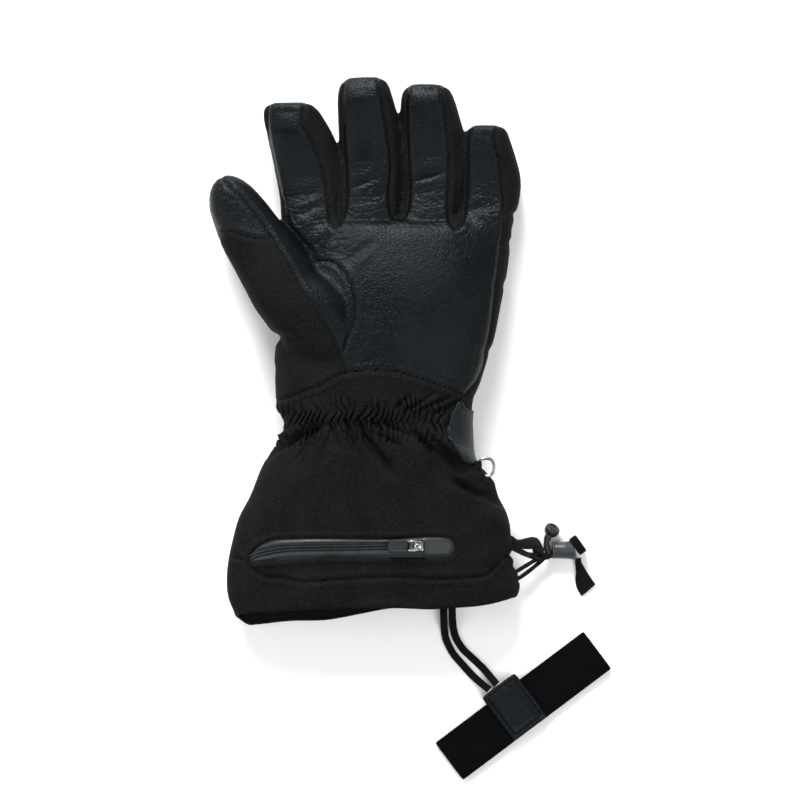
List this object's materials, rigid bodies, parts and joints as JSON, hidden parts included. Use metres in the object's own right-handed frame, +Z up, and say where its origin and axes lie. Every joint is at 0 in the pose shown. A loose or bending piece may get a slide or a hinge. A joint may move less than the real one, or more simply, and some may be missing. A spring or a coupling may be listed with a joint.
{
  "type": "heated glove",
  "caption": "Padded winter work glove for the left hand, hollow, with a flared zipped cuff, gathered wrist, drawcord lock and wrist leash.",
  "frame": {"origin": "on the ground under the middle of the glove's own box, without the loose cords and what is on them", "axes": "+Y towards the fingertips, +Z up out of the palm, +X towards the little finger; the glove lies on the back of the hand"},
  "size_m": [0.2496, 0.4374, 0.0543],
  "materials": {
    "leather": "pebble-grained goatskin, satin",
    "softshell": "matte softshell weave",
    "zip_rubber": "matte coated",
    "zip_teeth": "matte",
    "dark_metal": "dark nickel, satin",
    "silver_metal": "bright nickel",
    "webbing": "woven tape, matte",
    "ribbon": "tight smooth ribbon",
    "cord": "braided round cord",
    "lock_plastic": "moulded, satin",
    "elastic": "ribbed elastic"
  },
  "bodies": {
    "glove": {"palm_leather": "leather", "thumb_leather": "leather", "thumb_tip_cap": "leather", "wrist_patch": "leather", "leash_tab": "leather", "index_side": "softshell", "fourchette_index_middle": "softshell", "fourchette_middle_ring": "softshell", "fourchette_ring_little": "softshell", "little_side": "softshell", "thumb_outer": "softshell", "hand_back": "softshell", "gauntlet_front": "softshell", "gauntlet_back": "softshell", "hem_front": "softshell", "hem_back": "softshell", "zip_inlay": "zip_rubber", "zip_garage": "zip_rubber", "zip_coil": "zip_teeth", "zip_slider": "dark_metal", "side_ring": "silver_metal", "ring_webbing": "webbing", "lock_ribbon": "ribbon", "drawcord_upper": "cord", "drawcord_lower": "cord", "cord_lock_barrel": "lock_plastic", "cord_lock_knob": "lock_plastic", "cord_lock_end": "webbing", "pull_ribbon": "webbing", "leash_strand_a": "webbing", "leash_strand_b": "webbing", "wrist_loop_band": "elastic"},
    "zip_pull": {"zip_pull_link": "dark_metal", "zip_pull_tab": "zip_rubber"}
  },
  "joints": [
    {"name": "zip_pull_hinge", "type": "hinge", "parent": "glove", "child": "zip_pull", "pos_m": [0.02147, -0.12105, 0.04591], "axis": [0, 1, 0], "range_deg": [0, 150]}
  ]
}
